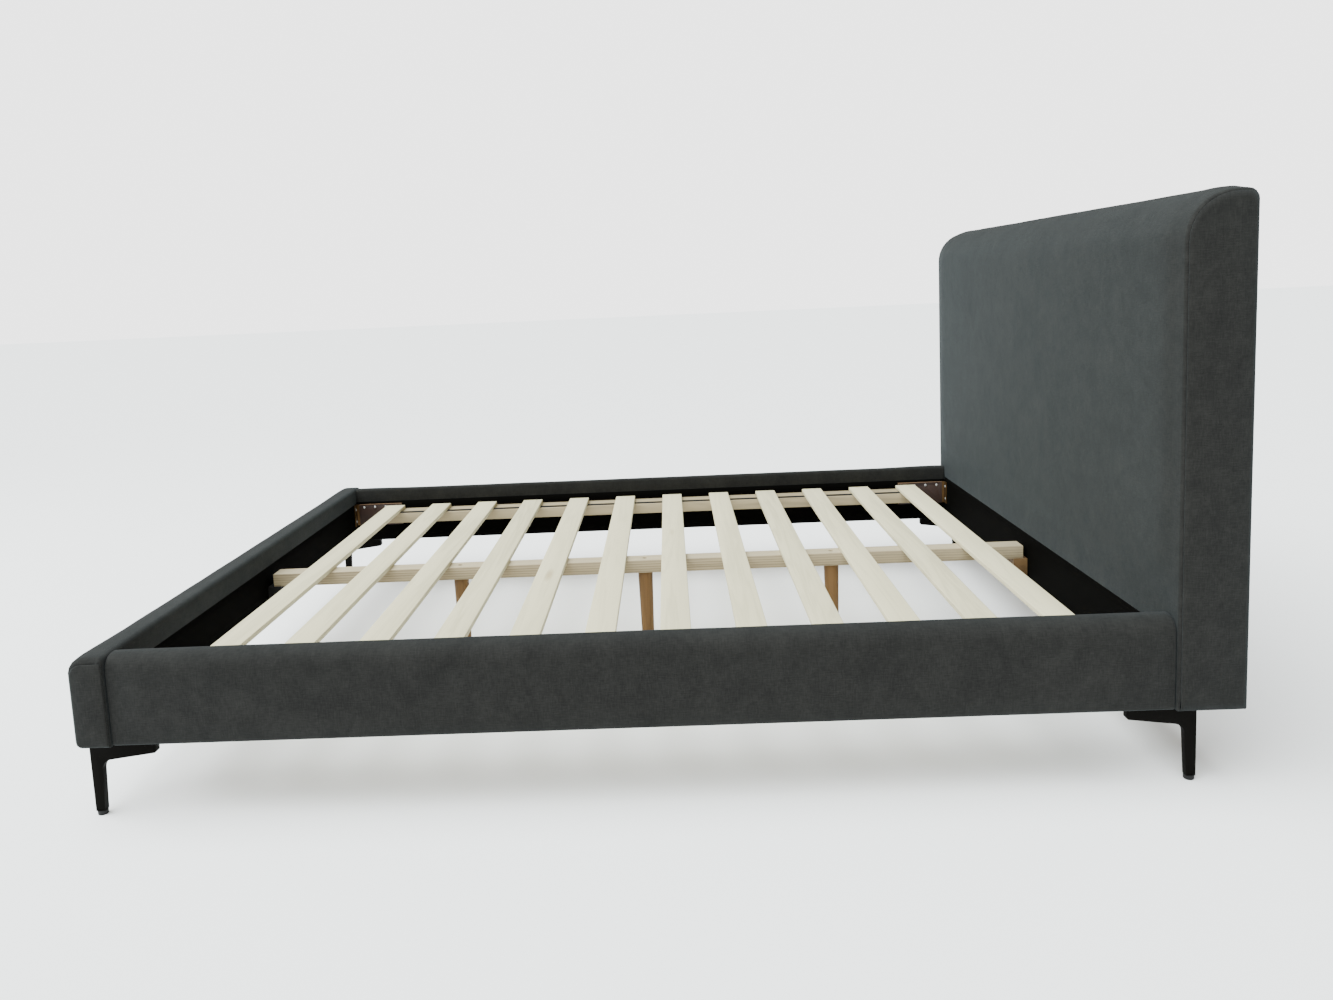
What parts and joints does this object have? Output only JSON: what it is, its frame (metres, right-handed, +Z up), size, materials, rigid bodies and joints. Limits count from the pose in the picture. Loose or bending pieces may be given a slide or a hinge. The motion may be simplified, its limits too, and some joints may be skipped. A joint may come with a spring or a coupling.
{
  "type": "bed frame",
  "caption": "Upholstered platform bed frame with padded headboard, low side rails, wooden slats on ledgers and a centre beam, and black metal legs.",
  "frame": {"origin": "on the floor under the middle of the overall box", "axes": "+Z up, +Y from the footboard to the headboard, +X to the right seen from the foot of the bed"},
  "size_m": [1.674, 2.267, 1.141],
  "materials": {
    "velvet": "charcoal grey short-pile upholstery velvet",
    "lining": "black non-woven lining",
    "webbing": "black woven webbing",
    "foam": "upholstery foam",
    "pale_wood": "planed pale poplar, unfinished",
    "board_wood": "plywood and sawn timber, hidden",
    "leg_wood": "turned hardwood, unfinished",
    "faced_plywood": "dark red-brown film-faced plywood",
    "yellow_zinc": "yellow zinc plated",
    "steel": "zinc plated",
    "black_metal": "black satin powder coat",
    "black_plastic": "black moulded plastic"
  },
  "bodies": {
    "frame": {"headboard_frame": "board_wood", "headboard_panel": "board_wood", "headboard_foam": "foam", "headboard_cover": "velvet", "headboard_side_left": "velvet", "headboard_side_right": "velvet", "headboard_back_cloth": "lining", "headboard_lining": "lining", "footboard_board": "board_wood", "footboard_foam": "foam", "footboard_cover": "velvet", "footboard_end_left": "velvet", "footboard_end_right": "velvet", "footboard_lining": "lining", "side_rail_board_left": "board_wood", "side_rail_board_right": "board_wood", "side_rail_foam_left": "foam", "side_rail_foam_right": "foam", "side_rail_cover_left": "velvet", "side_rail_cover_right": "velvet", "side_rail_lining_left": "lining", "side_rail_lining_right": "lining", "slat_ledger_left": "pale_wood", "slat_ledger_right": "pale_wood", "slat_straps": "webbing", "slat_01": "pale_wood", "slat_02": "pale_wood", "slat_03": "pale_wood", "slat_04": "pale_wood", "slat_05": "pale_wood", "slat_06": "pale_wood", "slat_07": "pale_wood", "slat_08": "pale_wood", "slat_09": "pale_wood", "slat_10": "pale_wood", "slat_11": "pale_wood", "slat_12": "pale_wood", "centre_beam": "pale_wood", "beam_blocks": "leg_wood", "centre_leg_foot": "leg_wood", "centre_leg_middle": "leg_wood", "centre_leg_head": "leg_wood", "centre_leg_bolts": "steel", "corner_plates": "faced_plywood", "corner_brackets": "yellow_zinc", "wood_screws": "steel", "leg_foot_left": "black_metal", "leg_foot_right": "black_metal", "leg_head_left": "black_metal", "leg_head_right": "black_metal", "leg_screws": "steel"},
    "centre_glide_foot": {"centre_glide_foot": "black_plastic"},
    "centre_glide_middle": {"centre_glide_middle": "black_plastic"},
    "centre_glide_head": {"centre_glide_head": "black_plastic"},
    "glide_foot_left": {"glide_foot_left": "black_plastic"},
    "glide_foot_right": {"glide_foot_right": "black_plastic"},
    "glide_head_left": {"glide_head_left": "black_plastic"},
    "glide_head_right": {"glide_head_right": "black_plastic"}
  },
  "joints": [
    {"name": "centre_glide_foot_adjust", "type": "slide", "parent": "frame", "child": "centre_glide_foot", "axis": [0, 0, -1], "range_m": [0, 0.01]},
    {"name": "centre_glide_middle_adjust", "type": "slide", "parent": "frame", "child": "centre_glide_middle", "axis": [0, 0, -1], "range_m": [0, 0.01]},
    {"name": "centre_glide_head_adjust", "type": "slide", "parent": "frame", "child": "centre_glide_head", "axis": [0, 0, -1], "range_m": [0, 0.01]},
    {"name": "glide_foot_left_adjust", "type": "slide", "parent": "frame", "child": "glide_foot_left", "axis": [0, 0, -1], "range_m": [0, 0.01]},
    {"name": "glide_foot_right_adjust", "type": "slide", "parent": "frame", "child": "glide_foot_right", "axis": [0, 0, -1], "range_m": [0, 0.01]},
    {"name": "glide_head_left_adjust", "type": "slide", "parent": "frame", "child": "glide_head_left", "axis": [0, 0, -1], "range_m": [0, 0.01]},
    {"name": "glide_head_right_adjust", "type": "slide", "parent": "frame", "child": "glide_head_right", "axis": [0, 0, -1], "range_m": [0, 0.01]}
  ]
}
